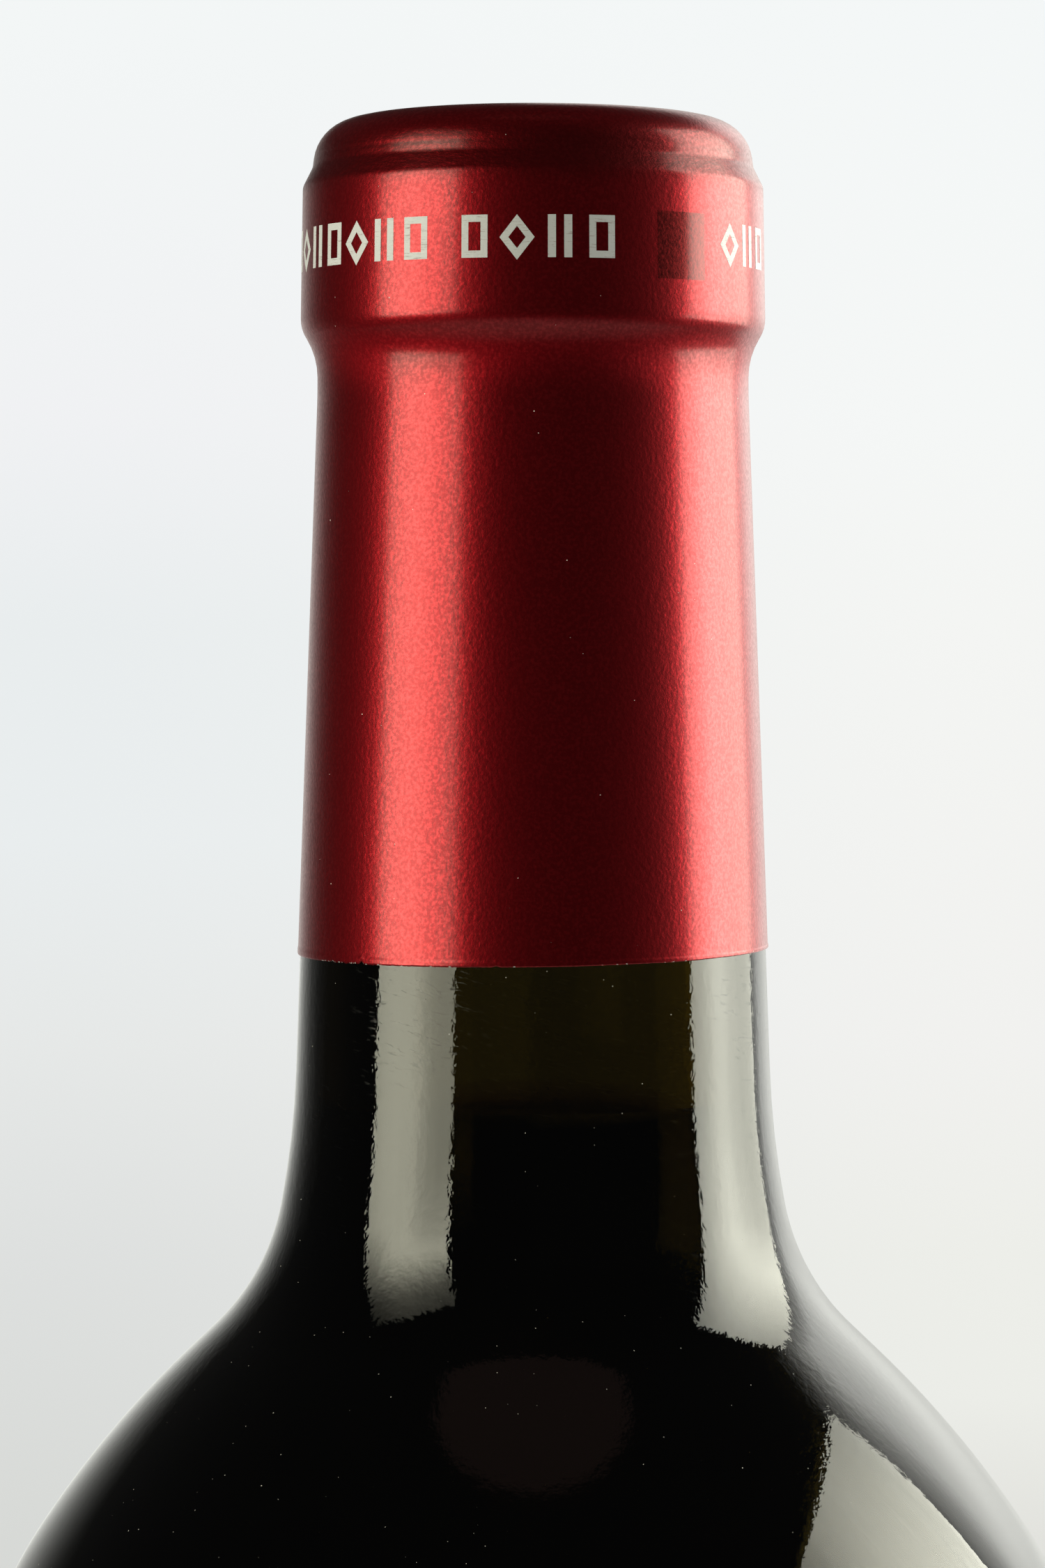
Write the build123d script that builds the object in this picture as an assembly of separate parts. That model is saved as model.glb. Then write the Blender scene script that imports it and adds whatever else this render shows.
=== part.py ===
from build123d import *
import os
from math import cos, radians, sin, tan

# A 750 ml wine bottle with high shoulders, filled, with a metal capsule over its mouth.
# Millimetres and degrees. The origin is the middle of the foot, +Z is up, the table is z = 0.
# Every outline below is drawn as radius against height and turned about Z.

# Glass, outside
height = 300.0            # brim above the table
body_radius = 37.1
heel_rounding = 6.5       # from the body's side down to the ring it stands on
ring_width = 1.6          # flat ring that meets the table
slope_angle = 46.3        # steepest lean of the shoulder, from upright
slope_length = 2.6        # straight run at that lean
spring_angle = 33.3       # where the crown of the shoulder hands over to the last roll
spring_rounding = 28.0    # last roll of the shoulder into the body
throat_angle = 10.7       # where the neck's long flare hands over to the throat
throat_rounding = 15.35   # tight hollow between neck and shoulder
flare_rounding = 59.0     # long hollow at the foot of the neck
neck_length = 61.4        # brim to the foot of the neck, where it flares and its bore opens out
neck_taper = 2.1          # the neck's lean, from upright

# Glass, mouth: a lip, a step out to the collar, the collar and the waist under it
collar_radius = 14.8      # at its upper edge
collar_taper = 1.0
collar_height = 9.1
collar_top_rounding = 0.7
collar_rounding = 2.1
lip_inset = 1.05          # collar's radius less the lip's
lip_lean = 8.0
lip_height = 2.93
lip_rounding = 2.7
lip_foot_rounding = 1.0
lip_step = 1.27           # foot of the lip down to the collar
waist_inset = 0.93        # collar's radius less the waist's
waist_drop = 1.8          # collar's lower edge down to the waist
waist_height = 2.4
waist_rounding = 5.0
waist_end_rounding = 40.0

# Glass, inside
bore_radius = 9.25        # at the brim, for a cork
bore_rounding = 0.9
bore_taper = 1.07
bore_flare_rounding = 27.3
body_wall = 2.75

# Foot
punt_depth = 19.0         # hollow under the bottle, at its middle
punt_slope = 45.0         # of the hollow's side, from level
punt_edge_rounding = 2.5
floor_glass = 4.8         # glass over the hollow
valley_rounding = 3.0     # the trough inside, round the hollow

# Contents and capsule
fill_depth = 64.8         # brim down to the wine
foil = 0.12
foil_gap = 0.02           # air between glass and capsule
bare_neck = 7.7           # capsule's cut edge down to the foot of the neck

lip_radius = collar_radius - lip_inset
lip_wall = lip_radius - bore_radius
waist_radius = collar_radius - waist_inset
capsule_skirt = neck_length - bare_neck


def limited(rounding, share):
    """A rounding of the brim, or as much of it as its share of the lip's wall holds."""
    return min(rounding, share * lip_wall)


def crown_radius(reach):
    """Radius of the shoulder's crown, which spans the reach that the other arcs leave."""
    return reach / (cos(radians(spring_angle)) - cos(radians(slope_angle)))


def shoulder(foot, lean, hollows, last_roll, body):
    """Lines from the foot of a neck down to a body: hollows, a straight slope, the crown and the last roll."""
    line = []
    point, way = foot, (sin(radians(lean)), -cos(radians(lean)))
    for rounding, angle in hollows:
        line.append(JernArc(point, way, rounding, angle - lean))
        point, way, lean = line[-1] @ 1, line[-1] % 1, angle
    line.append(PolarLine(point, slope_length, direction=way))
    reach = body - (line[-1] @ 1).X - last_roll * (1 - cos(radians(spring_angle)))
    line.append(JernArc(line[-1] @ 1, way, crown_radius(reach), spring_angle - slope_angle))
    line.append(JernArc(line[-1] @ 1, line[-1] % 1, last_roll, -spring_angle))
    return line


def mouth(grow, end_depth):
    """Outside of lip, collar, waist and neck down to end_depth, moved outwards by grow."""
    collar_depth = lip_height + lip_step
    collar_end = collar_depth + collar_height
    collar_foot = collar_radius + collar_height * tan(radians(collar_taper))
    waist_depth = collar_end + waist_drop
    waist_end = waist_depth + waist_height
    end_radius = waist_radius + (end_depth - waist_end) * tan(radians(neck_taper))
    lip_foot = lip_radius + lip_height * tan(radians(lip_lean))
    corners = [
        (lip_radius / 2, 0, 0),
        (lip_radius, 0, limited(lip_rounding, 0.6) + grow),
        (lip_foot, lip_height, lip_foot_rounding - grow),
        (collar_radius, collar_depth, collar_top_rounding + grow),
        (collar_foot, collar_end, collar_rounding + grow),
        (waist_radius, waist_depth, waist_rounding - grow),
        (waist_radius, waist_end, waist_end_rounding - grow),
        (end_radius, end_depth, 0),
    ]
    places = [(radius + grow, height - depth) for radius, depth, rounding in corners]
    places[0] = (places[0][0], height + grow)
    places[1] = (places[1][0], height + grow)
    return FilletPolyline(*places, radius=[rounding for radius, depth, rounding in corners[1:-1]])


def punt(lift, foot_radius):
    """Dome of the hollow under the bottle, from the middle out to its straight side, raised by lift."""
    dome_reach = foot_radius - punt_depth / tan(radians(punt_slope))
    dome_radius = dome_reach / tan(radians(punt_slope / 2))
    return JernArc((0, punt_depth + lift), (1, 0), dome_radius + lift, -punt_slope)


def turned(lines):
    """Solid made by turning closed lines, drawn as radius against height, about Z."""
    return revolve(Plane.XZ * make_face(Curve() + lines), axis=Axis.Z)


def glass_blank():
    """The bottle's outside with its hollow foot, and no inside."""
    neck = mouth(0, neck_length)
    sides = shoulder(neck @ 1, neck_taper,
                     [(flare_rounding, throat_angle), (throat_rounding, slope_angle)],
                     spring_rounding, body_radius)
    ring_outer = body_radius - heel_rounding
    ring_inner = ring_outer - ring_width
    dome = punt(0, ring_inner)
    foot = FilletPolyline(dome @ 1, (ring_inner, 0), (ring_outer, 0), radius=[punt_edge_rounding])
    heel = JernArc(foot @ 1, (1, 0), heel_rounding, 90)
    wall = Line(heel @ 1, sides[-1] @ 1)
    middle = Polyline(neck @ 0, (0, height), dome @ 0)
    return turned([neck, *sides, wall, heel, foot, dome, middle])


def cavity(over):
    """The bottle's inside, which rises past the brim by over."""
    top = (bore_radius - over * tan(radians(bore_taper)), height + over)
    foot_radius = bore_radius + neck_length * tan(radians(bore_taper))
    bore = Line(top, (foot_radius, height - neck_length))
    inner_body = body_radius - body_wall
    sides = shoulder(bore @ 1, bore_taper, [(bore_flare_rounding, slope_angle)],
                     spring_rounding - body_wall, inner_body)
    dome = punt(floor_glass, body_radius - heel_rounding - ring_width)
    run = (inner_body - (dome @ 1).X) / cos(radians(punt_slope))
    corner = dome @ 1 + (dome % 1) * run
    floor = FilletPolyline(dome @ 1, corner, sides[-1] @ 1, radius=[valley_rounding])
    middle = Polyline(top, (0, height + over), dome @ 0)
    return turned([bore, *sides, floor, dome, middle])


def mouth_edge():
    """Ring of glass that the brim's inner edge loses to its rounding."""
    rounding = limited(bore_rounding, 0.3)
    arc = JernArc((bore_radius + rounding, height), (-1, 0), rounding, 90)
    inner = bore_radius - rounding
    rest = Polyline(arc @ 1, (inner, height - rounding), (inner, height), arc @ 0)
    return turned([arc, rest])


def bottle():
    return glass_blank() - cavity(1.0) - mouth_edge()


def wine():
    level = Plane.XY.offset(height - fill_depth)
    return split(cavity(0), bisect_by=level, keep=Keep.BOTTOM)


def capsule():
    """Thin metal cap over lip, collar and neck, open at its skirt."""
    inner = mouth(foil_gap, capsule_skirt)
    outer = mouth(foil_gap + foil, capsule_skirt)
    edge = Line(inner @ 1, outer @ 1)
    top = Polyline(inner @ 0, (0, height + foil_gap), (0, height + foil_gap + foil), outer @ 0)
    return turned([inner, edge, outer, top])


os.makedirs("parts", exist_ok=True)
for name, solid in (("bottle", bottle()), ("wine", wine()), ("capsule", capsule())):
    export_step(solid, f"parts/{name}.step")
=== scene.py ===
from math import asin, atan2, ceil, cos, pi, radians, sin, tan

import bmesh
import bpy
from mathutils import Matrix, Vector, noise


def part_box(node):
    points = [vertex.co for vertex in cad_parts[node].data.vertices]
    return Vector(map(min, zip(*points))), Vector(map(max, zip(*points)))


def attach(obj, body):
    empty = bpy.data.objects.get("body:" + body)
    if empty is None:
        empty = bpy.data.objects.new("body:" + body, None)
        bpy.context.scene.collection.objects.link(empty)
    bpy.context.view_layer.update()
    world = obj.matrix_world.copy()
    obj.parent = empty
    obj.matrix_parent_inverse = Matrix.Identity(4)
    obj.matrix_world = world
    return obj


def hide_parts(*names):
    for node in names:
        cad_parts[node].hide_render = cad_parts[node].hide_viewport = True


# A filled 750 ml wine bottle of dark glass with a red metal capsule. Metres, +Z up, front towards -Y.
# The glass, the wine and the capsule are turned again here, more finely than in the CAD model.

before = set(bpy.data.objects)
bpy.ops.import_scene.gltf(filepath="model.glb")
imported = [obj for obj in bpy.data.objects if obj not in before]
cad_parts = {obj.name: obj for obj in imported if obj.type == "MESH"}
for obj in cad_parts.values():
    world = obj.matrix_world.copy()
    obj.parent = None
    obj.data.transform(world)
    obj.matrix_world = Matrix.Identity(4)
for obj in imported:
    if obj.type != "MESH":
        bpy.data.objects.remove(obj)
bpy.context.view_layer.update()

MM = 0.001
MICRON = MM / 1000
NOTHING = 1e-7                # lengths below this count as none

# ---------------------------------------------------------------- sizes

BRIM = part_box("bottle")[1].z
BODY_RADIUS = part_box("bottle")[1].x
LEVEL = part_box("wine")[1].z
CAPSULE_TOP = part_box("capsule")[1].z
CUT_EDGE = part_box("capsule")[0].z

# Glass, outside
HEEL_ROUNDING = 6.5 * MM
RING_WIDTH = 1.6 * MM
SLOPE_ANGLE = 46.3
SLOPE_LENGTH = 2.6 * MM
SPRING_ANGLE = 33.3
SPRING_ROUNDING = 28 * MM
THROAT_ANGLE = 10.7
THROAT_ROUNDING = 15.35 * MM
FLARE_ROUNDING = 59 * MM
NECK_LENGTH = 61.4 * MM
NECK_TAPER = 2.1

# Mouth: a lip, a step out to the collar, the collar and the waist under it
COLLAR_RADIUS = 14.8 * MM
COLLAR_TAPER = 1.0
COLLAR_HEIGHT = 9.1 * MM
COLLAR_TOP_ROUNDING = 0.7 * MM
COLLAR_ROUNDING = 2.1 * MM
LIP_RADIUS = 13.75 * MM
LIP_LEAN = 8.0
LIP_HEIGHT = 2.93 * MM
LIP_ROUNDING = 2.7 * MM
LIP_FOOT_ROUNDING = 1.0 * MM
LIP_STEP = 1.27 * MM
WAIST_RADIUS = 13.87 * MM
WAIST_DROP = 1.8 * MM
WAIST_HEIGHT = 2.4 * MM
WAIST_ROUNDING = 5.0 * MM
WAIST_END_ROUNDING = 40 * MM

# Glass, inside
BORE_RADIUS = 9.25 * MM
BORE_ROUNDING = 0.9 * MM
BORE_TAPER = 1.07
BORE_FLARE_ROUNDING = 27.3 * MM
BODY_WALL = 2.75 * MM

# Foot
PUNT_DEPTH = 19 * MM
PUNT_SLOPE = 45.0
PUNT_EDGE_ROUNDING = 2.5 * MM
FLOOR_GLASS = 4.8 * MM
VALLEY_ROUNDING = 3 * MM

# Wine
WINE_OVERLAP = 0.06 * MM      # how far the wine reaches into the glass
MENISCUS = 1.6 * MM           # how far the wine's edge climbs, and how wide the climb is
MENISCUS_TURN = 84            # degrees from level that the surface has turned where it meets the glass

# Capsule
FOIL = 0.12 * MM
FOIL_GAP = 0.02 * MM
FOIL_TURNS = 768              # facets round the capsule, fine enough for a torn edge
GLASS_TURNS = 256
EDGE_BAND = 0.32 * MM         # rolled band along the cut edge
EDGE_TILT = 0.22 * MM         # the cut edge is this much higher at the right, and lower at the left
BAND_SWELL = 0.03 * MM
DIMPLE_DEPTH = 0.3 * MM       # the top sinks over the bore
DIMPLE_INNER = BORE_RADIUS - 1.6 * MM
DIMPLE_OUTER = BORE_RADIUS + 0.2 * MM
DIMPLE_ROUNDING = 2 * MM
NICKS = (                     # in the cut edge: degrees round it, half width in degrees, and depth
    (-45, 1.0, 0.16 * MM), (-8.7, 0.9, 0.08 * MM), (-56.5, 0.7, 0.1 * MM), (122, 1.2, 0.14 * MM),
)
WAVY_EDGE = 0.03 * MM
RAGGED_EDGE = 0.07 * MM
RAGGED_LEAST = 0.25
RAGGED_STRETCHES = (          # degrees round the edge, half width in degrees, and how ragged
    (-49, 14, 1.0), (150, 30, 0.5),
)
BARE_HEIGHT = 0.06 * MM       # facets this near the edge may be bare of lacquer
BARE_STRETCHES = ((-63, -36), (140, 165))    # degrees where most of them are
BARE_MOST = 0.05              # noise above which a facet is bare, on these stretches
BARE_FEW = 0.42               # and elsewhere

# Folds in the foil, below the brim: where they start, are full, begin to fade and end
LIP_FOLDS = (0.6 * MM, 2.2 * MM, 3.6 * MM, 5.4 * MM)
GATHERS = (12.9 * MM, 14.2 * MM, 15 * MM, 18.5 * MM)
LIP_CREASE = (2.08 * MM, 2.3 * MM, 2.3 * MM, 2.6 * MM)
WAIST_RING = (16.5 * MM, 16.8 * MM, 16.8 * MM, 17.1 * MM)

# Wear of the glass, below the brim
RUBBED_END = (60 * MM, 85 * MM)    # rub marks fade out
ROUGH_END = (78 * MM, 90 * MM)     # orange peel goes over into smoother glass
ROUGH_NECK = 2.8
ROUGH_BODY = 0.4

# Print on the collar
PRINT_THICKNESS = 0.012 * MM
MARK_TOP = 7.08 * MM          # below the brim
MARK_HEIGHT = 2.65 * MM
MARK_WIDTH = 1.75 * MM
MARK_STROKE = 0.44 * MM
MARK_PITCH = 9.25             # degrees
MARK_SHAPES = (("lozenge", 1.25, 1.06), ("box", 0.95, 1.0))    # with shares of a mark's width and height
BAR_WIDTH = 1.15 * MARK_STROKE
BAR_TURN = 0.21 * MARK_PITCH  # degrees from a mark's middle to each of its twin bars
STRIP = 0.35 * MM             # marks are cut in strips this wide, so that they bend round the collar
MARK_ROWS = (                 # first mark's angle, how many marks, and the pitch in degrees
    (-103.25, 9, MARK_PITCH), (-14.1, 4, 10.2), (55.9, 3, MARK_PITCH),
    (92.9, 2, MARK_PITCH), (120.65, 9, MARK_PITCH), (213.15, 2, MARK_PITCH),
)
SQUARE_TOP = 6.67 * MM
SQUARE_SIDES = (3.84 * MM, 4.2 * MM)
SQUARE_PLACES = (38.4, 239.0)

# Light and backdrop. Directions are degrees round the bottle from the front, and degrees above level.
FLOOR_RADIUS = 0.5
FLOOR_FADE = (0.35, 0.98)     # shares of its radius
LIT_HEIGHT = 0.225            # the softboxes are set out as seen from this height
BOX_DISTANCE = 0.9
BOX_BOTTOM = 0.02
BOX_RISE = (0.07, 0.42)       # slope up from the bottle over which high_stops take over
CLOTH_FOLDS = (12, 0.7)       # in a softbox, across and upwards
ROOM_DARK = (0.028, 0.028, 0.027)
CEILING_BROWN = (0.105, 0.072, 0.064)
CEILING_RIM = (0.945, 0.957)  # upward part of a direction at the ceiling's edge
CEILING_SIDES = (-82, 84)
WALL_TINT = (1, 1.01, 0.95)
WALL_ROUND = (                # brightness of the wall behind the bottle, round from the back by the left
    (-180, 0.95), (-170, 0.95), (-160, 0.75), (-150, 0.45), (-140, 0.17), (-130, 0.06), (-120, 0.03),
    (132, 0.03), (134, 1.0), (138, 1.5), (143, 2.5), (150, 2.5), (158, 2.2), (166, 1.7), (174, 1.05),
    (180, 0.95),
)
WALL_SLANT = 21               # degrees that the right wall's edge leans over, straight above
RIGHT_TOP = (0.46, 0.66, 1.0, 0.0)      # upward parts of a direction, and the wall's brightness there
RIGHT_FOOT = (-0.05, 0.17, 0.65, 1.0)
LEFT_TOP = (-0.05, 0.36, 1.0, 0.03)
HIGHEST = 0.124               # upward part of a direction at the top of the backdrop's gradient
LOWEST = -0.2
SEAM = 0.11                   # sideways part over which the backdrop's left goes over into its right
BACKDROP_LEFT = (
    (-11.2, (0.68, 0.694, 0.672)), (-7.8, (0.73, 0.745, 0.737)), (-5.3, (0.79, 0.807, 0.8)),
    (-2.8, (0.815, 0.847, 0.855)), (-0.2, (0.815, 0.847, 0.855)), (2.3, (0.871, 0.88, 0.896)),
    (7.1, (0.896, 0.922, 0.922)),
)
BACKDROP_RIGHT = (
    (-11.2, (0.761, 0.761, 0.723)), (-9.5, (0.839, 0.847, 0.807)), (-7.8, (0.847, 0.855, 0.815)),
    (-5.3, (0.88, 0.88, 0.863)), (-0.2, (0.905, 0.913, 0.896)), (2.3, (0.913, 0.93, 0.922)),
    (7.1, (0.905, 0.93, 0.93)),
)
CAMERA_PLACE = (-0.00068, -0.3079, 0.26862)
CAMERA_DIP = 2.14             # degrees that the camera looks down
CAMERA_LENS = 108.4


# ---------------------------------------------------------------- outlines, turned about Z

class Pen:
    """Draws a line of radius against height in a mesh, from which a piece is turned about Z."""

    def __init__(self, mesh, radius, height):
        self.mesh = mesh
        self.tip = mesh.verts.new((radius, 0, height))
        self.way = Vector((1, 0))

    @property
    def place(self):
        return Vector((self.tip.co.x, self.tip.co.z))

    def line(self, radius, height):
        """A straight run to a place."""
        target = Vector((radius, height))
        if (target - self.place).length < NOTHING:
            return
        self.way = (target - self.place).normalized()
        self.tip = bmesh.ops.extrude_vert_indiv(self.mesh, verts=[self.tip])["verts"][0]
        self.tip.co = (radius, 0, height)

    def forward(self, length):
        """A straight run on from here."""
        self.line(*(self.place + self.way * length))

    def bend(self, rounding, turn, finest=2.5):
        """An arc on from here, to the left for a positive turn in degrees, else to the right."""
        side = Vector((-self.way.y, self.way.x)) * (1 if turn > 0 else -1)
        centre = self.place + side * rounding
        steps = max(3, ceil(abs(turn) / finest))
        made = bmesh.ops.spin(self.mesh, geom=[self.tip], cent=(centre.x, 0, centre.y), axis=(0, -1, 0),
                              angle=radians(turn), steps=steps)
        self.tip = [part for part in made["geom_last"] if isinstance(part, bmesh.types.BMVert)][0]
        self.way = Matrix.Rotation(radians(turn), 2) @ self.way

    def through(self, corners, finest=8):
        """Straight runs through (radius, height, rounding) corners, each rounded, to the last one."""
        for (radius, height, rounding), following in zip(corners, corners[1:]):
            corner = Vector((radius, height))
            way = (corner - self.place).normalized()
            onward = (Vector(following[:2]) - corner).normalized()
            turn = -way.angle_signed(onward)
            tangent = rounding * tan(abs(turn) / 2)
            self.line(*(corner - way * tangent))
            if rounding > 0:
                self.bend(rounding, turn * 180 / pi, finest)
        self.line(*corners[-1][:2])


def turned(mesh, steps):
    """Turns the lines in a mesh about Z, by a quarter and its mirror images, into a closed shell."""
    bmesh.ops.spin(mesh, geom=mesh.verts[:] + mesh.edges[:], cent=(0, 0, 0), axis=(0, 0, 1),
                   angle=pi / 2, steps=steps // 4)
    bmesh.ops.remove_doubles(mesh, verts=mesh.verts, dist=NOTHING)
    for axis in ("X", "Y"):
        bmesh.ops.mirror(mesh, geom=mesh.verts[:] + mesh.edges[:] + mesh.faces[:], matrix=Matrix(),
                         merge_dist=NOTHING, axis=axis)
    bmesh.ops.remove_doubles(mesh, verts=mesh.verts, dist=NOTHING)
    bmesh.ops.recalc_face_normals(mesh, faces=mesh.faces)
    if mesh.calc_volume(signed=True) < 0:
        bmesh.ops.reverse_faces(mesh, faces=mesh.faces)


def piece(name, mesh, materials, slot, *nodes):
    """A finished piece, which rides with the bottle and stands for CAD nodes."""
    data = bpy.data.meshes.new(name)
    mesh.to_mesh(data)
    mesh.free()
    data.shade_smooth()
    data.set_sharp_from_angle(angle=radians(40))
    for material in materials:
        data.materials.append(material)
    made = bpy.data.objects.new(name, data)
    bpy.context.scene.collection.objects.link(made)
    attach(made, "root")
    if nodes:
        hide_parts(*nodes)


# ---------------------------------------------------------------- shader tools

class Wire:
    """A shader socket that sums can be written with."""

    def __init__(self, graph, socket):
        self.graph = graph
        self.socket = socket

    def sum(self, operation, *values):
        return self.graph.node("ShaderNodeMath", {"operation": operation}, dict(enumerate(values)))

    def __add__(self, other):
        return self.sum("ADD", self, other)

    def __radd__(self, other):
        return self.sum("ADD", other, self)

    def __sub__(self, other):
        return self.sum("SUBTRACT", self, other)

    def __rsub__(self, other):
        return self.sum("SUBTRACT", other, self)

    def __mul__(self, other):
        return self.sum("MULTIPLY", self, other)

    def __rmul__(self, other):
        return self.sum("MULTIPLY", other, self)

    def __truediv__(self, other):
        return self.sum("DIVIDE", self, other)

    def __pow__(self, other):
        return self.sum("POWER", self, other)

    def __gt__(self, other):
        return self.sum("GREATER_THAN", self, other)

    def __lt__(self, other):
        return self.sum("LESS_THAN", self, other)


class Graph:
    """The nodes of one material, light or world."""

    def __init__(self, tree):
        self.tree = tree
        tree.nodes.clear()

    def node(self, kind, settings=None, inputs=None, output=0):
        """Any node: its settings, then the values or wires of its sockets. Gives one output."""
        made = self.tree.nodes.new(kind)
        for name, value in (settings or {}).items():
            if name == "stops":
                while len(made.color_ramp.elements) < len(value):
                    made.color_ramp.elements.new(1)
                for element, (position, colour) in zip(made.color_ramp.elements, value):
                    element.position = position
                    element.color = (*colour, 1)
            else:
                setattr(made, name, value)
        for name, value in (inputs or {}).items():
            if isinstance(value, Wire):
                self.tree.links.new(value.socket, made.inputs[name])
            elif value is not None:
                made.inputs[name].default_value = value
        return Wire(self, made.outputs[output]) if len(made.outputs) else None

    def place(self, stretch=(1, 1, 1)):
        """Where a point is on the piece, in metres, with each axis multiplied."""
        spot = self.node("ShaderNodeTexCoord", output="Object")
        return self.node("ShaderNodeVectorMath", {"operation": "MULTIPLY"}, {0: spot, 1: stretch})

    def axes(self, vector):
        """A vector's three numbers."""
        split = self.node("ShaderNodeSeparateXYZ", inputs={0: vector})
        return [Wire(self, socket) for socket in split.socket.node.outputs]

    def grain(self, size, stretch=(1, 1, 1), detail=2.0, roughness=0.5):
        """Noise whose features are about this size, in metres, from 0 to 1."""
        return self.node("ShaderNodeTexNoise", inputs={
            "Vector": self.place(stretch), "Scale": 1 / size, "Detail": detail, "Roughness": roughness})

    def specks(self, spacing, size, share):
        """Round specks of a size, one in a cell of the spacing, in a share of the cells: 1 on a speck."""
        cells = {"Vector": self.place(), "Scale": 1 / spacing}
        away = self.node("ShaderNodeTexVoronoi", {"feature": "F1"}, cells, "Distance")
        chance = self.node("ShaderNodeTexVoronoi", {"feature": "F1"}, cells, "Color")
        kept, shrunk = self.axes(chance)[:2]
        near = away < shrunk * (size / spacing)
        return near * (kept < share)

    def ease(self, value, start, end, low=0.0, high=1.0):
        """Goes smoothly from low to high as the value goes from start to end."""
        return self.node("ShaderNodeMapRange", {"interpolation_type": "SMOOTHSTEP"}, {
            "Value": value, "From Min": start, "From Max": end, "To Min": low, "To Max": high})

    def between(self, value, start, full, fading, end):
        """1 as the value goes from full to fading, and eases to 0 at start and at end."""
        return self.ease(value, start, full) * self.ease(value, fading, end, 1.0, 0.0)

    def blend(self, share, first, second):
        """The first colour where the share is 0, and the second where it is 1."""
        first, second = [value if isinstance(value, Wire) else (*value, 1) for value in (first, second)]
        return self.node("ShaderNodeMix", {"data_type": "RGBA"}, {0: share, 6: first, 7: second}, 2)

    def bump(self, height):
        """A surface that rises by a height in metres."""
        return self.node("ShaderNodeBump", inputs={"Strength": 1.0, "Distance": 1.0, "Height": height})

    def surface(self, settings):
        """A solid, metallic or clear surface."""
        return self.node("ShaderNodeBsdfPrincipled", inputs=settings)

    def finish(self, surface, volume=None):
        """Ends the material in a surface and, for a clear piece, in what fills it."""
        self.node("ShaderNodeOutputMaterial", inputs={"Surface": surface, "Volume": volume})


def new_material(name):
    material = bpy.data.materials.new(name)
    material.use_nodes = True
    return material, Graph(material.node_tree)


# ---------------------------------------------------------------- finishes

GLASS_ABSORPTION = (450, 490, 700)     # per metre of dark glass
WINE_ABSORPTION = (640, 900, 850)


def absorbing(graph, absorption):
    """Clear body that takes out light by the given amounts per metre."""
    density = max(absorption)
    colour = [1 - each / density for each in absorption]
    return graph.node("ShaderNodeVolumeAbsorption", inputs={"Color": (*colour, 1), "Density": density})


def dark_glass():
    """Moulded dark olive glass: faint waves, ragged orange peel, dust and fine rub marks."""
    material, graph = new_material("dark_glass")
    waves = graph.grain(9 * MM, (1, 1, 0.6), 1.0)
    peel = graph.grain(0.62 * MM, (1, 1, 0.8), 2.0, 0.6)
    sand = graph.grain(0.2 * MM, (1, 1, 1), 2.0, 0.6)
    across, along, up = graph.axes(graph.place())
    slanted = graph.node("ShaderNodeCombineXYZ", inputs={
        0: across * 0.2, 1: along * 0.2, 2: up + across * 0.25})
    lines = graph.node("ShaderNodeTexNoise", inputs={
        "Vector": slanted, "Scale": 1 / (0.22 * MM), "Detail": 2.0, "Roughness": 0.6})
    patch = graph.grain(11 * MM, (1, 1, 0.8), 1.0)
    neck = graph.ease(up, BRIM - RUBBED_END[1], BRIM - RUBBED_END[0])
    rubbed = graph.ease(lines, 0.54, 0.7) * graph.ease(patch, 0.44, 0.6) * neck
    rough = graph.ease(up, BRIM - ROUGH_END[1], BRIM - ROUGH_END[0], ROUGH_BODY, ROUGH_NECK)
    height = waves * (14 * MICRON) + rough * (peel * (4.5 * MICRON) + sand * (0.8 * MICRON))
    dust = graph.specks(0.6 * MM, 0.04 * MM, 0.45)
    glass = graph.surface({
        "Base Color": (0.93, 0.94, 0.86, 1),
        "Roughness": rubbed * 0.2,
        "IOR": 1.52,
        "Transmission Weight": 1.0,
        "Normal": graph.bump(height),
    })
    specks = graph.surface({"Base Color": (0.62, 0.6, 0.56, 1), "Roughness": 0.8})
    graph.finish(graph.node("ShaderNodeMixShader", inputs={0: dust, 1: glass, 2: specks}),
                 absorbing(graph, GLASS_ABSORPTION))
    return material


def red_wine():
    """Clear deep ruby wine, with hardly a ripple."""
    material, graph = new_material("red_wine")
    wine = graph.surface({
        "Base Color": graph.blend(graph.grain(6 * MM), (1.0, 0.96, 0.96), (0.97, 0.9, 0.9)),
        "Roughness": 0.0,
        "IOR": 1.34,
        "Transmission Weight": 1.0,
        "Normal": graph.bump(graph.grain(5 * MM) * (2 * MICRON)),
    })
    graph.finish(wine, absorbing(graph, WINE_ABSORPTION))
    return material


def foil_relief(graph, strength=1.0):
    """Height of the lacquered metal: a fine grain, and dents that are taller than wide."""
    peel = graph.grain(0.3 * MM, (1, 1, 0.85), 2.0, 0.6)
    dents = graph.grain(2.4 * MM, (1, 1, 0.6), 1.0)
    return peel * (strength * 22 * MICRON) + dents * (strength * 11 * MICRON)


def crinkles(graph):
    """Height of the folds, with how crinkled the lip and how gathered the waist is."""
    depth = BRIM - graph.axes(graph.place())[2]
    band = graph.between(depth, *LIP_FOLDS)
    fold = graph.grain(0.45 * MM, (0.55, 0.55, 1.3), 3.0, 0.65)
    gathered = graph.between(depth, *GATHERS)
    streaks = gathered * graph.grain(0.6 * MM, (1, 1, 0.25), 2.0)
    crease = graph.between(depth, *LIP_CREASE)
    ring = graph.between(depth, *WAIST_RING)
    relief = band * fold * (50 * MICRON) + streaks * (14 * MICRON)
    return relief - crease * (22 * MICRON) - ring * (5 * MICRON), band, gathered


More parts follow.
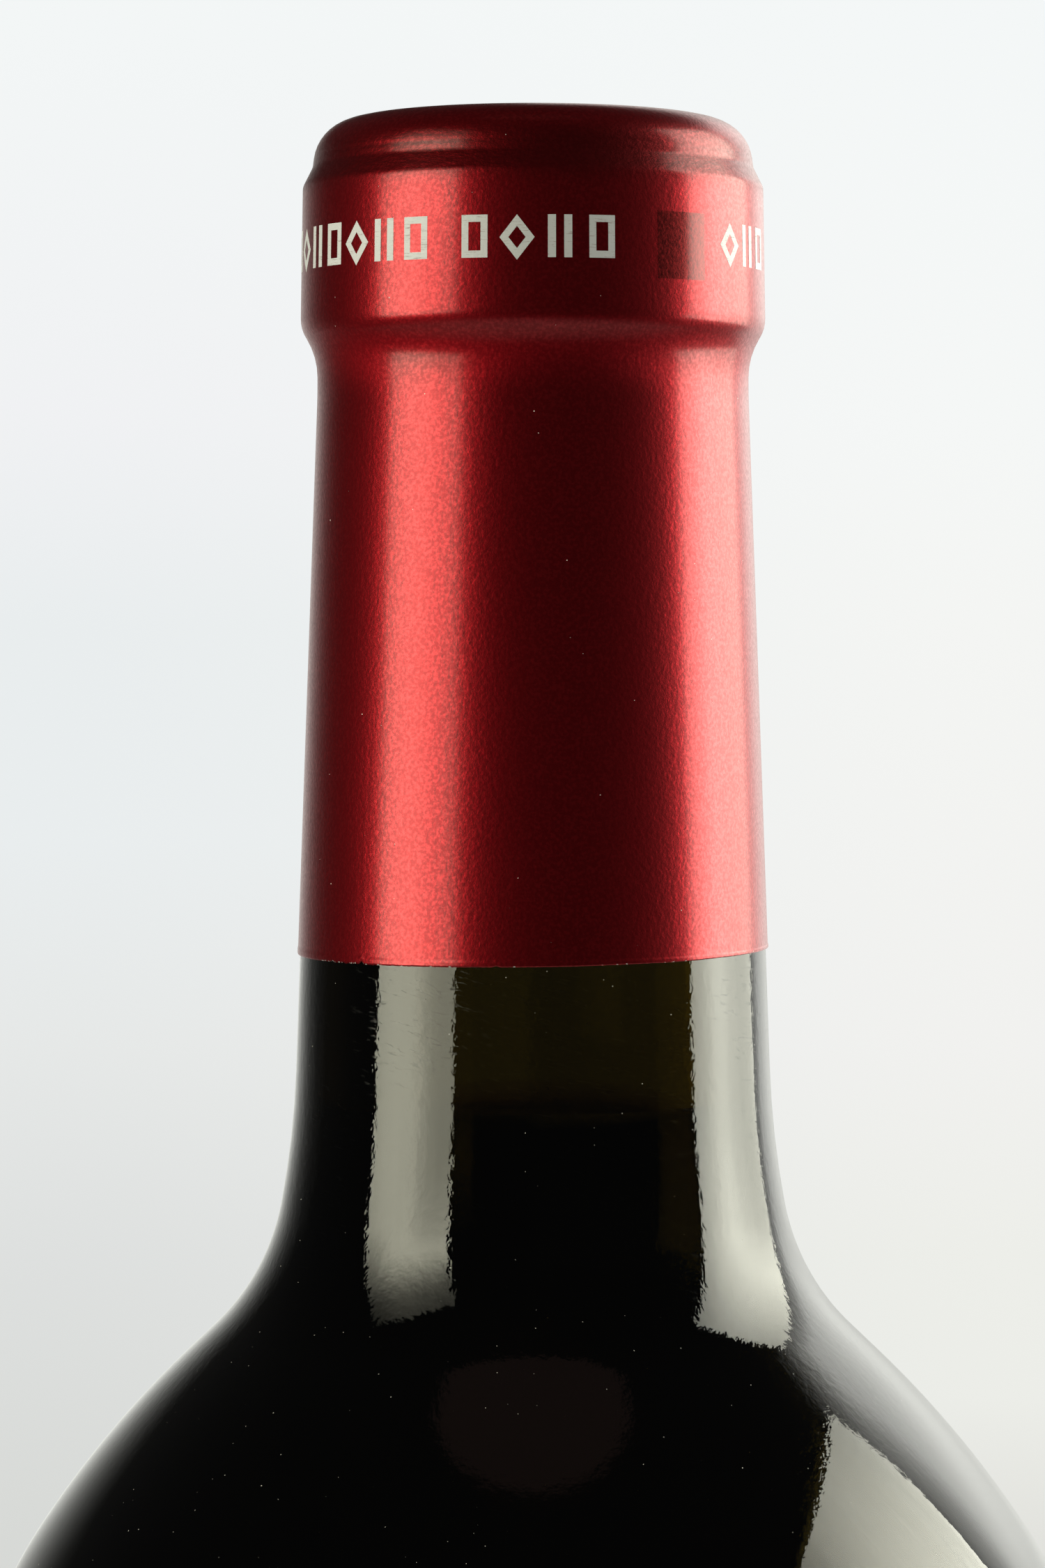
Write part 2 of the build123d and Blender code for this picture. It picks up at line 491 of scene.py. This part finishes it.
def red_foil():
    """Translucent red lacquer over metal: satin, with a fine sparkle and an orange peel, and painted shade
    that darkens the lip's folds.
    """
    material, graph = new_material("red_foil")
    sparkle = graph.grain(0.22 * MM, (1, 1, 1), 2.0, 0.6)
    cloud = graph.grain(5 * MM, (1, 1, 0.3), 3.0)
    deep = graph.blend(cloud, (0.18, 0.0027, 0.0064), (0.21, 0.0035, 0.0076))
    colour = graph.blend(graph.ease(sparkle, 0.4, 0.68), deep, (0.29, 0.006, 0.011))
    pits = graph.specks(1.0 * MM, 0.06 * MM, 0.5)
    colour = graph.blend(pits, colour, (0.1, 0.004, 0.005))
    dust = graph.specks(1.0 * MM, 0.05 * MM, 0.5)
    colour = graph.blend(dust, colour, (0.8, 0.6, 0.58))
    folds, crinkled_and_painted_shade, gathered = crinkles(graph)
    # Painted shade: over the lip's folds the base colour is darkened towards near-black red to dim the
    # highlights there. The same mask also roughens the lip, which is real.
    colour = graph.blend(crinkled_and_painted_shade * 0.55, colour, (0.03, 0.002, 0.002))
    foil = graph.surface({
        "Base Color": colour,
        "Metallic": 0.82 - 0.82 * dust,
        "Roughness": graph.ease(sparkle, 0.3, 0.7, 0.35, 0.29) + 0.08 * crinkled_and_painted_shade + 0.2 * gathered,
        "Specular IOR Level": 0.0,
        "Coat Weight": graph.ease(sparkle, 0.36, 0.66, 0.43, 0.6),
        "Coat Roughness": 0.19,
        "Normal": graph.bump(foil_relief(graph) + folds),
    })
    graph.finish(foil)
    return material


def bare_metal():
    """Torn edge of the capsule, where the lacquer has come off."""
    material, graph = new_material("bare_metal")
    shred = graph.grain(0.2 * MM, (1, 1, 1), 3.0)
    metal = graph.surface({
        "Base Color": graph.blend(graph.ease(shred, 0.4, 0.6), (0.45, 0.03, 0.03), (0.78, 0.76, 0.74)),
        "Metallic": 1.0,
        "Roughness": graph.ease(shred, 0.3, 0.7, 0.25, 0.5),
        "Normal": graph.bump(shred * (10 * MICRON)),
    })
    graph.finish(metal)
    return material


def white_ink():
    """Thin white print, scratched round the collar."""
    material, graph = new_material("white_ink")
    scratch = graph.grain(0.5 * MM, (0.5, 0.5, 5), 4.0, 0.75)
    worn = graph.ease(scratch, 0.56, 0.68)
    ink = graph.surface({
        "Base Color": graph.blend(worn, (0.66, 0.67, 0.7), (0.4, 0.32, 0.33)),
        "Roughness": graph.ease(scratch, 0.3, 0.7, 0.35, 0.6),
        "Normal": graph.bump(foil_relief(graph, 0.7)),
    })
    graph.finish(ink)
    return material


def dark_ink():
    """Glossy dark red print, finely pitted."""
    material, graph = new_material("dark_ink")
    pitted = graph.grain(0.14 * MM, (1, 1, 0.7), 2.0)
    ink = graph.surface({
        "Base Color": graph.blend(
            graph.ease(pitted, 0.35, 0.65), (0.08, 0.001, 0.002), (0.12, 0.003, 0.004)),
        "Metallic": 0.82,
        "Roughness": graph.ease(pitted, 0.3, 0.7, 0.28, 0.36),
        "Specular IOR Level": 0.0,
        "Coat Weight": 0.65,
        "Coat Roughness": 0.15,
        "Normal": graph.bump(foil_relief(graph) + pitted * (1.5 * MICRON)),
    })
    graph.finish(ink)
    return material


# ---------------------------------------------------------------- glass and wine

def shoulder(pen, lean, hollows, last_roll, body):
    """From the foot of the neck down to the body: hollows, a straight slope, the crown, the last roll."""
    pen.way = Vector((sin(radians(lean)), -cos(radians(lean))))
    for rounding, angle in hollows:
        pen.bend(rounding, angle - lean)
        lean = angle
    pen.forward(SLOPE_LENGTH)
    reach = body - pen.place.x - last_roll * (1 - cos(radians(SPRING_ANGLE)))
    crown = reach / (cos(radians(SPRING_ANGLE)) - cos(radians(SLOPE_ANGLE)))
    pen.bend(crown, SPRING_ANGLE - SLOPE_ANGLE, 1)
    pen.bend(last_roll, -SPRING_ANGLE)


def mouth_corners(grow, end_depth):
    """Corners of lip, collar, waist and neck down to end_depth, moved outwards by grow."""
    collar_depth = LIP_HEIGHT + LIP_STEP
    collar_end = collar_depth + COLLAR_HEIGHT
    waist_depth = collar_end + WAIST_DROP
    waist_end = waist_depth + WAIST_HEIGHT
    corners = [
        (LIP_RADIUS, -grow, LIP_ROUNDING + grow),
        (LIP_RADIUS + LIP_HEIGHT * tan(radians(LIP_LEAN)), LIP_HEIGHT, LIP_FOOT_ROUNDING - grow),
        (COLLAR_RADIUS, collar_depth, COLLAR_TOP_ROUNDING + grow),
        (COLLAR_RADIUS + COLLAR_HEIGHT * tan(radians(COLLAR_TAPER)), collar_end, COLLAR_ROUNDING + grow),
        (WAIST_RADIUS, waist_depth, WAIST_ROUNDING - grow),
        (WAIST_RADIUS, waist_end, WAIST_END_ROUNDING - grow),
        (WAIST_RADIUS + (end_depth - waist_end) * tan(radians(NECK_TAPER)), end_depth, 0),
    ]
    return [(radius + grow, BRIM - depth, rounding) for radius, depth, rounding in corners]


def punt(pen, lift, foot_radius):
    """From the straight side of the hollow under the bottle to its middle, raised by lift."""
    dome_reach = foot_radius - PUNT_DEPTH / tan(radians(PUNT_SLOPE))
    dome = dome_reach / tan(radians(PUNT_SLOPE / 2)) + lift
    centre = PUNT_DEPTH + lift - dome
    pen.line(dome * sin(radians(PUNT_SLOPE)), centre + dome * cos(radians(PUNT_SLOPE)))
    pen.bend(dome, PUNT_SLOPE)


def inside(pen, grow, lean=BORE_TAPER):
    """From where the bore's flare has a lean, down the inside and over the hollow, moved out by grow."""
    body = BODY_RADIUS - BODY_WALL + grow
    shoulder(pen, lean, [(BORE_FLARE_ROUNDING - grow, SLOPE_ANGLE)],
             SPRING_ROUNDING - BODY_WALL + grow, body)
    ring_inner = BODY_RADIUS - HEEL_ROUNDING - RING_WIDTH
    dome_reach = ring_inner - PUNT_DEPTH / tan(radians(PUNT_SLOPE))
    dome = dome_reach / tan(radians(PUNT_SLOPE / 2)) + FLOOR_GLASS - grow
    edge = (dome * sin(radians(PUNT_SLOPE)),
            PUNT_DEPTH + FLOOR_GLASS - grow - dome * (1 - cos(radians(PUNT_SLOPE))))
    valley = edge[1] - (body - edge[0]) * tan(radians(PUNT_SLOPE))
    pen.through([(body, valley, VALLEY_ROUNDING + grow), (*edge, 0)], 6)
    punt(pen, FLOOR_GLASS - grow, ring_inner)


def make_glass():
    """The bottle: outside and inside are drawn from the middle of the brim down, and turned together."""
    mesh = bmesh.new()
    brim_middle = (BORE_RADIUS + BORE_ROUNDING + LIP_RADIUS - LIP_ROUNDING) / 2
    outer = Pen(mesh, brim_middle, BRIM)
    outer.through(mouth_corners(0, NECK_LENGTH))
    shoulder(outer, NECK_TAPER, [(FLARE_ROUNDING, THROAT_ANGLE), (THROAT_ROUNDING, SLOPE_ANGLE)],
             SPRING_ROUNDING, BODY_RADIUS)
    ring_outer = BODY_RADIUS - HEEL_ROUNDING
    ring_inner = ring_outer - RING_WIDTH
    outer.through([
        (BODY_RADIUS, 0, HEEL_ROUNDING),
        (ring_inner, 0, PUNT_EDGE_ROUNDING),
        (ring_inner - PUNT_DEPTH / 2, PUNT_DEPTH / 2 * tan(radians(PUNT_SLOPE)), 0),
    ], 6)
    punt(outer, 0, ring_inner)
    inner = Pen(mesh, brim_middle, BRIM)
    foot = BORE_RADIUS + NECK_LENGTH * tan(radians(BORE_TAPER))
    inner.through([(BORE_RADIUS, BRIM, BORE_ROUNDING), (foot, BRIM - NECK_LENGTH, 0)])
    inside(inner, 0)
    turned(mesh, GLASS_TURNS)
    piece("glass_bottle", mesh, [dark_glass()], "dark_glass", "bottle")


def make_wine():
    """The wine, a little into the glass, with its edge drawn up the wall."""
    mesh = bmesh.new()
    climb = MENISCUS * (1 - cos(radians(MENISCUS_TURN)))
    foot = BORE_RADIUS + NECK_LENGTH * tan(radians(BORE_TAPER)) + WINE_OVERLAP
    flare = BORE_FLARE_ROUNDING - WINE_OVERLAP
    sunk = BRIM - NECK_LENGTH - LEVEL - climb
    lean = asin(sunk / flare + sin(radians(BORE_TAPER)))
    wall = foot + flare * (cos(radians(BORE_TAPER)) - cos(lean))
    pen = Pen(mesh, 0, LEVEL)
    pen.line(wall / 2, LEVEL)
    pen.line(wall - WINE_OVERLAP - MENISCUS * sin(radians(MENISCUS_TURN)), LEVEL)
    pen.bend(MENISCUS, MENISCUS_TURN, 6)
    pen.line(wall, LEVEL + climb)
    inside(pen, WINE_OVERLAP, lean * 180 / pi)
    turned(mesh, GLASS_TURNS)
    piece("wine_inside", mesh, [red_wine()], "red_wine", "wine")


# ---------------------------------------------------------------- capsule

def around(vertex):
    """Degrees round the axis from the front, to the right."""
    return Vector((0, -1)).angle_signed(Vector(vertex.co.xy)) * -180 / pi


def on_circle(angle):
    """Place on a circle, to draw noise from that closes on itself."""
    return Vector((cos(radians(angle)), sin(radians(angle)), 0))


def peak(angle, place, width):
    """1 at a place, and falls to 0 at a width from it, in degrees."""
    return max(0.0, 1 - abs(angle - place) / width)


def torn(angle):
    """How far the cut edge is from level at an angle round the capsule."""
    height = EDGE_TILT * sin(radians(angle)) + WAVY_EDGE * noise.noise(on_circle(angle) * 3)
    ragged = RAGGED_LEAST
    for place, width, share in RAGGED_STRETCHES:
        ragged += share * peak(angle, place, width)
    height += ragged * RAGGED_EDGE * noise.noise(on_circle(angle) * 90)
    for place, width, depth in NICKS:
        height += depth * peak(angle, place, width)
    return height


def make_capsule():
    """Metal capsule: drawn from the middle of its top down to the cut edge and back up inside."""
    mesh = bmesh.new()
    top = CAPSULE_TOP
    outside = mouth_corners(FOIL_GAP + FOIL, BRIM - CUT_EDGE)
    inner = mouth_corners(FOIL_GAP, BRIM - CUT_EDGE)
    dimple = [(DIMPLE_INNER, top - DIMPLE_DEPTH, DIMPLE_ROUNDING), (DIMPLE_OUTER, top, DIMPLE_ROUNDING)]
    under = [(DIMPLE_OUTER, top - FOIL, DIMPLE_ROUNDING),
             (DIMPLE_INNER, top - FOIL - DIMPLE_DEPTH, DIMPLE_ROUNDING),
             (0, top - FOIL - DIMPLE_DEPTH, 0)]
    ending = outside[-1][0]
    band = [(ending - 0.01 * MM, CUT_EDGE + EDGE_BAND * 1.3, 0.3 * MM),
            (ending + BAND_SWELL, CUT_EDGE + EDGE_BAND * 0.8, 0.2 * MM),
            (ending + BAND_SWELL, CUT_EDGE + EDGE_BAND * 0.2, 0.1 * MM),
            (ending, CUT_EDGE, 0)]
    pen = Pen(mesh, 0, top - DIMPLE_DEPTH)
    pen.through(dimple + outside[:-1] + band, 9)
    pen.line(ending - FOIL, CUT_EDGE)
    pen.line(ending - FOIL, CUT_EDGE + 2 * EDGE_BAND)
    pen.through(inner[-2::-1] + under, 15)
    turned(mesh, FOIL_TURNS)
    for vertex in mesh.verts:
        near = max(0.0, 1 - (vertex.co.z - CUT_EDGE) / (2 * EDGE_BAND))
        if near > 0:
            vertex.co.z += near * torn(around(vertex))
    for face in mesh.faces:
        middle = face.calc_center_median()
        angle = atan2(middle.x, -middle.y) * 180 / pi
        frayed = noise.noise(on_circle(angle) * 60)
        wanted = BARE_MOST if any(start < angle < end for start, end in BARE_STRETCHES) else BARE_FEW
        if middle.z < CUT_EDGE + torn(angle) + BARE_HEIGHT and frayed > wanted:
            face.material_index = 1
    piece("foil_capsule", mesh, [red_foil(), bare_metal()], "red_foil", "capsule")


# ---------------------------------------------------------------- print on the collar

def stamp(mesh, shape, width, height, hollow, angle, top):
    """One flat mark, cut in narrow strips, given its thickness and wrapped on the collar at an angle."""
    mark = bmesh.new()
    bmesh.ops.create_circle(mark, cap_ends=True, segments=4, radius=0.5)
    if shape == "box":
        bmesh.ops.rotate(mark, verts=mark.verts, cent=(0, 0, 0), matrix=Matrix.Rotation(pi / 4, 3, "Z"))
        bmesh.ops.scale(mark, verts=mark.verts, vec=(2 ** 0.5, 2 ** 0.5, 1))
    bmesh.ops.scale(mark, verts=mark.verts, vec=(width, height, 1))
    if hollow:
        bmesh.ops.inset_region(mark, faces=mark.faces[:], thickness=MARK_STROKE, use_boundary=True,
                               use_even_offset=True)
        middle = min(mark.faces, key=lambda face: face.calc_center_median().length)
        bmesh.ops.delete(mark, geom=[middle], context="FACES_ONLY")
    cuts = ceil(width / STRIP)
    for cut in range(1, cuts):
        bmesh.ops.bisect_plane(mark, geom=mark.verts[:] + mark.edges[:] + mark.faces[:],
                               plane_co=((cut / cuts - 0.5) * width, 0, 0), plane_no=(1, 0, 0))
    bmesh.ops.recalc_face_normals(mark, faces=mark.faces)
    bmesh.ops.solidify(mark, geom=mark.faces[:], thickness=PRINT_THICKNESS)
    lowest = min(vertex.co.z for vertex in mark.verts)
    for vertex in mark.verts:
        height_here = top - height / 2 + vertex.co.y
        depth = BRIM - height_here - LIP_HEIGHT - LIP_STEP
        foil = COLLAR_RADIUS + depth * tan(radians(COLLAR_TAPER)) + FOIL_GAP + FOIL
        radius = foil + vertex.co.z - lowest - PRINT_THICKNESS / 4
        turn = radians(angle) + vertex.co.x / foil
        vertex.co = (radius * sin(turn), -radius * cos(turn), height_here)
    bmesh.ops.recalc_face_normals(mark, faces=mark.faces)
    data = bpy.data.meshes.new("mark")
    mark.to_mesh(data)
    mark.free()
    mesh.from_mesh(data)
    bpy.data.meshes.remove(data)


def make_print():
    """Rows of plain lozenges, boxes and bars in white round the collar, with dark squares between them."""
    white = bmesh.new()
    for start, count, pitch in MARK_ROWS:
        for index in range(count):
            angle = start + index * pitch
            kind = (index * 2 + count) % 3
            if kind == 2:
                for turn in (-BAR_TURN, BAR_TURN):
                    stamp(white, "box", BAR_WIDTH, MARK_HEIGHT, False, angle + turn, BRIM - MARK_TOP)
            else:
                shape, wide, tall = MARK_SHAPES[kind]
                stamp(white, shape, MARK_WIDTH * wide, MARK_HEIGHT * tall, True, angle, BRIM - MARK_TOP)
    piece("white_print", white, [white_ink()], "white_ink")
    dark = bmesh.new()
    for angle in SQUARE_PLACES:
        stamp(dark, "box", *SQUARE_SIDES, False, angle, BRIM - SQUARE_TOP)
    piece("dark_print", dark, [dark_ink()], "dark_ink")


make_glass()
make_wine()
make_capsule()
make_print()

# ---------------------------------------------------------------- floor, light and camera

scene = bpy.context.scene


def make_floor():
    """A pale round floor that fades into the backdrop at its rim, and is clear from underneath."""
    mesh = bmesh.new()
    bmesh.ops.create_circle(mesh, cap_ends=True, segments=96, radius=FLOOR_RADIUS)
    data = bpy.data.meshes.new("floor")
    mesh.to_mesh(data)
    mesh.free()
    material, graph = new_material("pale_floor")
    across, along = graph.axes(graph.place())[:2]
    away = (across * across + along * along) ** 0.5
    plaster = graph.grain(20 * MM, detail=4.0)
    pale = graph.surface({
        "Base Color": graph.blend(plaster, (0.62, 0.63, 0.67), (0.65, 0.66, 0.7)),
        "Roughness": 0.9,
    })
    clear = graph.node("ShaderNodeBsdfTransparent")
    fade = graph.ease(away, *[FLOOR_RADIUS * share for share in FLOOR_FADE])
    underneath = graph.node("ShaderNodeNewGeometry", output="Backfacing")
    gone = fade.sum("MAXIMUM", fade, underneath)
    graph.finish(graph.node("ShaderNodeMixShader", inputs={0: gone, 1: pale, 2: clear}))
    data.materials.append(material)
    floor = bpy.data.objects.new("floor", data)
    scene.collection.objects.link(floor)


def ramp_of(graph, value, stops):
    """A ramp through (value, brightness) stops, as a number."""
    start, end = stops[0][0], stops[-1][0]
    stops = [((at - start) / (end - start), (bright, bright, bright)) for at, bright in stops]
    return graph.node("ShaderNodeValToRGB", {"stops": stops}, {0: (value - start) / (end - start)})


def make_softbox(name, facing, lean, top, round_stops, high_stops, up_stops, radiance, tint):
    """A tall soft light beside the bottle. It faces the bottle at an angle, leans back, and is uneven:
    round_stops hold across it low down, high_stops higher up, and up_stops from bottom to top."""
    out = Vector((sin(radians(facing)), -cos(radians(facing)), 0))
    along = Vector((cos(radians(facing)), sin(radians(facing)), 0))
    sides = [tan(radians(stops[0] - facing)) for stops in (round_stops[0], round_stops[-1])]
    start, end = [BOX_DISTANCE * side for side in sides]
    foot = BOX_DISTANCE - (LIT_HEIGHT - BOX_BOTTOM) * tan(radians(lean))
    upright = BOX_DISTANCE * tan(radians(top)) + LIT_HEIGHT - BOX_BOTTOM
    height = upright / (1 - tan(radians(lean)) * tan(radians(top)))
    light = bpy.data.lights.new(name, "AREA")
    light.shape = "RECTANGLE"
    light.size = end - start
    light.size_y = height / cos(radians(lean))
    light.energy = radiance * pi * light.size * light.size_y
    light.color = tint
    light.use_nodes = True
    graph = Graph(light.node_tree)
    spot = graph.node("ShaderNodeNewGeometry", output="Position")
    away, across = [
        graph.node("ShaderNodeVectorMath", {"operation": "DOT_PRODUCT"}, {0: spot, 1: way}, "Value")
        for way in (out, along)]
    upward = graph.axes(spot)[2] - LIT_HEIGHT
    glow_low, glow_high = [
        ramp_of(graph, across / away, [(tan(radians(at - facing)), bright) for at, bright in stops])
        for stops in (round_stops, high_stops)]
    risen = graph.ease(upward / away, *BOX_RISE)
    glow_across = glow_low + (glow_high - glow_low) * risen
    glow_up = ramp_of(graph, upward / away, [(tan(radians(at)), bright) for at, bright in up_stops])
    hung = graph.node("ShaderNodeCombineXYZ", inputs={
        0: across * CLOTH_FOLDS[0], 1: upward * CLOTH_FOLDS[1]})
    folds = graph.node("ShaderNodeTexNoise", inputs={"Vector": hung, "Detail": 3.0})
    cloth = graph.ease(folds, 0.3, 0.7, 0.95, 1.05)
    emission = graph.node("ShaderNodeEmission", inputs={"Strength": glow_across * glow_up * cloth})
    graph.node("ShaderNodeOutputLight", inputs={"Surface": emission})
    box = bpy.data.objects.new(name, light)
    raised = Vector((0, 0, cos(radians(lean)))) + out * sin(radians(lean))
    middle = out * (foot + height / 2 * tan(radians(lean))) + along * (start + end) / 2
    middle.z = BOX_BOTTOM + height / 2
    turn = Matrix((along, raised, along.cross(raised))).transposed()
    box.matrix_world = Matrix.Translation(middle) @ turn.to_4x4()
    box.visible_camera = False
    scene.collection.objects.link(box)


def make_world():
    """A pale backdrop. Shiny things see a white wall behind the bottle, and a dim room in front of it."""
    world = bpy.data.worlds.new("room")
    world.use_nodes = True
    scene.world = world
    graph = Graph(world.node_tree)
    across, along, up = graph.axes(graph.node("ShaderNodeTexCoord", output="Generated"))
    azimuth = across.sum("ARCTAN2", across, 0 - along) * (180 / pi)
    right = azimuth > 0
    raised = up.sum("MAXIMUM", up, 0)
    bent = azimuth + right * raised * raised * WALL_SLANT
    wall = ramp_of(graph, bent, WALL_ROUND)
    fade_right = graph.ease(up, *RIGHT_TOP) * graph.ease(up, *RIGHT_FOOT)
    fade_left = graph.ease(up, *LEFT_TOP)
    wall = wall * (right * fade_right + (1 - right) * fade_left)
    tinted = graph.node("ShaderNodeVectorMath", {"operation": "SCALE"}, {0: WALL_TINT, "Scale": wall})
    ceiling = graph.ease(up, *CEILING_RIM) * (azimuth < CEILING_SIDES[1]) * (azimuth > CEILING_SIDES[0])
    overhead = graph.blend(ceiling, ROOM_DARK, CEILING_BROWN)
    room = graph.node("ShaderNodeVectorMath", {"operation": "MAXIMUM"}, {0: tinted, 1: overhead})
    stops_left, stops_right = [
        [((sin(radians(height)) - LOWEST) / (HIGHEST - LOWEST), colour) for height, colour in side]
        for side in (BACKDROP_LEFT, BACKDROP_RIGHT)]
    level = (up - LOWEST) / (HIGHEST - LOWEST)
    left_pale = graph.node("ShaderNodeValToRGB", {"stops": stops_left}, {0: level})
    right_pale = graph.node("ShaderNodeValToRGB", {"stops": stops_right}, {0: level})
    pale = graph.blend(graph.ease(across, -SEAM, SEAM), left_pale, right_pale)
    seen = graph.node("ShaderNodeLightPath", output="Is Camera Ray")
    colour = graph.blend(seen, room, pale)
    background = graph.node("ShaderNodeBackground", inputs={"Color": colour, "Strength": 1.0})
    graph.node("ShaderNodeOutputWorld", inputs={"Surface": background})


def make_camera():
    camera = bpy.data.objects.new("camera", bpy.data.cameras.new("camera"))
    camera.location = CAMERA_PLACE
    camera.rotation_euler = (radians(90 - CAMERA_DIP), 0, 0)
    camera.data.lens = CAMERA_LENS
    camera.data.sensor_width = 36
    camera.data.clip_start = 0.01
    scene.collection.objects.link(camera)
    scene.camera = camera


make_floor()
make_softbox(
    "left_softbox", -65, 0, 45.9,
    ((-80, 0.78), (-76, 0.86), (-72, 0.96), (-66, 1), (-60, 1), (-57, 0.92), (-54, 0.78), (-51, 0.65),
     (-48, 0.58), (-44, 0.53), (-38.5, 0.54)),
    ((-80, 0.34), (-76, 0.44), (-72, 0.62), (-66, 0.92), (-60, 1), (-57, 1), (-54, 0.98), (-51, 0.96),
     (-48, 0.95), (-44, 0.93), (-38.5, 0.92)),
    ((-15, 0.98), (0, 0.98), (7, 0.96), (15, 1), (20, 0.99), (25, 0.76), (30, 0.44), (35, 0.22),
     (38, 0.15), (42, 0.105), (46, 0.07)),
    6.95, (1, 0.98, 0.76))
make_softbox(
    "right_softbox", 84, 12.8, 42.8,
    ((82.5, 0.62), (88, 0.75), (92, 0.85), (96, 0.97), (100, 1.04), (105, 0.96), (110, 0.76), (115, 0.65),
     (120, 0.54), (124, 0.49), (128, 0.45), (133.5, 0.43)),
    ((82.5, 0.56), (88, 0.66), (92, 0.8), (96, 0.88), (100, 0.92), (105, 0.94), (110, 0.93), (115, 0.86),
     (120, 0.79), (124, 0.74), (128, 0.68), (133.5, 0.64)),
    ((-15, 0.75), (0, 0.8), (5, 0.91), (10, 1), (15, 1), (20, 0.96), (25, 0.87), (30, 0.76),
     (35, 0.65), (38, 0.57), (41, 0.5), (42.8, 0.46)),
    10.8, (1, 1, 0.85))
make_world()
make_camera()
scene.view_settings.view_transform = "Standard"
